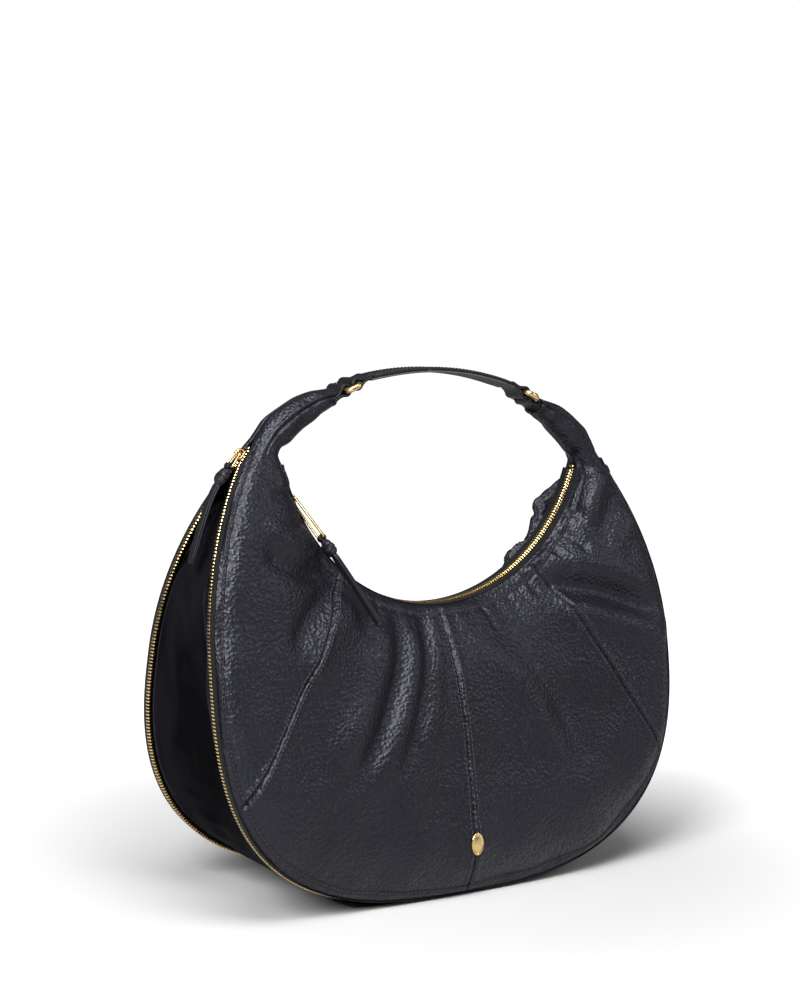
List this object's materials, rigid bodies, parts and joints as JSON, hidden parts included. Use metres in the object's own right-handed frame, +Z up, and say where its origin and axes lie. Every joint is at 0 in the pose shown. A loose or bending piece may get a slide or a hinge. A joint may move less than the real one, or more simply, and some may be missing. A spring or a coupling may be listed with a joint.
{
  "type": "hobo bag",
  "caption": "Slouchy crescent hobo bag with a suede expansion gusset, a zip across the mouth, a zip round the gusset and a short strap on two metal rings.",
  "frame": {"origin": "centre of the flat patch of gusset that the bag stands on", "axes": "+X to the right seen from the front, +Y towards the back, +Z up; the front faces -Y"},
  "size_m": [0.433, 0.148, 0.398],
  "materials": {
    "black_leather": "pebbled, soft sheen",
    "black_suede": "matt napped suede",
    "zip_tape": "woven tape",
    "gold_metal": "polished pale gold plate",
    "lining_cloth": "twill",
    "strap_backing": "grey-green split"
  },
  "bodies": {
    "bag": {"front_inner_left_panel": "black_leather", "front_inner_right_panel": "black_leather", "front_outer_left_panel": "black_leather", "front_outer_right_panel": "black_leather", "rear_inner_left_panel": "black_leather", "rear_inner_right_panel": "black_leather", "rear_outer_left_panel": "black_leather", "rear_outer_right_panel": "black_leather", "front_lining": "lining_cloth", "rear_lining": "lining_cloth", "slip_pocket": "lining_cloth", "gusset_lining": "lining_cloth", "gusset_base": "black_suede", "gusset_left_side": "black_suede", "gusset_right_side": "black_suede", "expansion_teeth_front": "gold_metal", "mouth_teeth_front": "gold_metal", "expansion_tape_front": "zip_tape", "mouth_tape_front": "zip_tape", "expansion_teeth_rear": "gold_metal", "mouth_teeth_rear": "gold_metal", "expansion_tape_rear": "zip_tape", "mouth_tape_rear": "zip_tape", "mouth_stop_left": "gold_metal", "mouth_stop_right": "gold_metal", "expansion_stop": "gold_metal", "ornament_plate": "gold_metal", "ornament_washer": "gold_metal", "expansion_end_tab": "black_leather"},
    "mouth_slider": {"mouth_slider": "gold_metal"},
    "mouth_stirrup": {"mouth_pull_stirrup": "gold_metal"},
    "mouth_pull": {"mouth_pull_knot": "black_leather", "mouth_pull_tail": "black_leather"},
    "expansion_slider": {"expansion_slider": "gold_metal"},
    "expansion_ring": {"expansion_pull_ring": "gold_metal"},
    "expansion_pull": {"expansion_pull_knot": "black_leather", "expansion_pull_tail": "black_leather"},
    "handle_arms": {"left_arm": "black_leather", "left_arm_loop": "black_leather", "right_arm": "black_leather", "right_arm_loop": "black_leather"},
    "ring_left": {"left_ring": "gold_metal"},
    "strap": {"handle_strap": "black_leather", "handle_strap_backing": "strap_backing", "strap_loop_left": "black_leather", "strap_loop_right": "black_leather"},
    "ring_right": {"right_ring": "gold_metal"}
  },
  "joints": [
    {"name": "mouth_zip", "type": "hinge", "parent": "bag", "child": "mouth_slider", "pos_m": [0, 0, 0.364], "axis": [0, -1, 0], "range_deg": [0, 116]},
    {"name": "mouth_stirrup_hinge", "type": "hinge", "parent": "mouth_slider", "child": "mouth_stirrup", "pos_m": [-0.12741, 0, 0.29625], "axis": [-0.2347, -0.866, 0.4415], "range_deg": [0, 100]},
    {"name": "mouth_pull_hinge", "type": "hinge", "parent": "mouth_stirrup", "child": "mouth_pull", "pos_m": [-0.11277, -0.018, 0.26872], "axis": [-0.2347, -0.866, 0.4415], "range_deg": [0, 60]},
    {"name": "expansion_zip", "type": "slide", "parent": "bag", "child": "expansion_slider", "axis": [-0.5749, 0, -0.8182], "range_m": [0, 0.012]},
    {"name": "expansion_ring_hinge", "type": "hinge", "parent": "expansion_slider", "child": "expansion_ring", "pos_m": [-0.1753, 0, 0.32915], "axis": [0, 1, 0], "range_deg": [0, 90]},
    {"name": "expansion_pull_hinge", "type": "hinge", "parent": "expansion_ring", "child": "expansion_pull", "pos_m": [-0.1822, 0, 0.31934], "axis": [0, 1, 0], "range_deg": [0, 60]},
    {"name": "handle_fold", "type": "hinge", "parent": "bag", "child": "handle_arms", "pos_m": [0, 0, 0.33832], "axis": [1, 0, 0], "range_deg": [-30, 30]},
    {"name": "ring_left_rock", "type": "hinge", "parent": "handle_arms", "child": "ring_left", "pos_m": [-0.091, 0, 0.37701], "axis": [0, 1, 0], "range_deg": [-15, 15]},
    {"name": "strap_rock", "type": "hinge", "parent": "ring_left", "child": "strap", "pos_m": [-0.0812, 0, 0.382], "axis": [0, 1, 0], "range_deg": [-17.5, 17.5]},
    {"name": "ring_right_rock", "type": "hinge", "parent": "strap", "child": "ring_right", "pos_m": [0.0812, 0, 0.382], "axis": [0, 1, 0], "range_deg": [-17.5, 17.5]}
  ],
  "couplings": [
    {"joint": "strap_rock", "follows": "ring_left_rock", "ratio": -1.1207},
    {"joint": "ring_right_rock", "follows": "ring_left_rock", "ratio": 1.1207}
  ]
}
